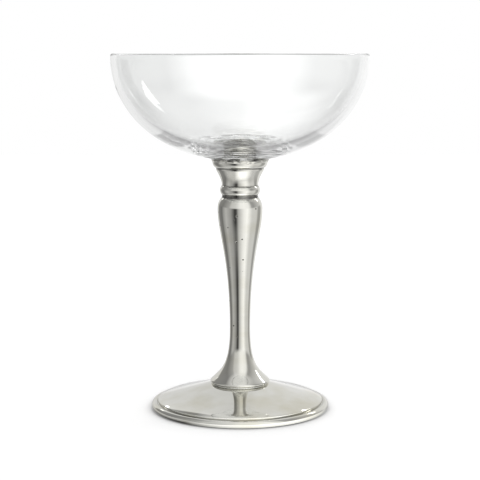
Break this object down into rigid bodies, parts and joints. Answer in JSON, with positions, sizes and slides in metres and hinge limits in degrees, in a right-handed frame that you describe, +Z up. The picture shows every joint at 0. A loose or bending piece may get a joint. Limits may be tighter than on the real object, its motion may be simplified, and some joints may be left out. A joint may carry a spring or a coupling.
{
  "type": "coupe glass",
  "caption": "Coupe glass with a wide clear crystal bowl bonded into a turned pewter collar, on a baluster stem and a coned round foot.",
  "frame": {"origin": "centre of the ring that the foot rests on, at table height", "axes": "+Z up along the glass's axis; the glass is round, and -Y faces the picture's camera"},
  "size_m": [0.1076, 0.1076, 0.15],
  "materials": {
    "crystal": "clear, fire-polished",
    "bond": "clear cured bond",
    "pewter": "polished cast pewter with a few casting pits",
    "solder": "bright tin solder, wiped flush"
  },
  "bodies": {
    "root": {"crystal_bowl": "crystal", "peg_bond": "bond", "collar": "pewter", "collar_solder": "solder", "stem": "pewter", "foot_solder": "solder", "foot": "pewter"}
  },
  "joints": []
}
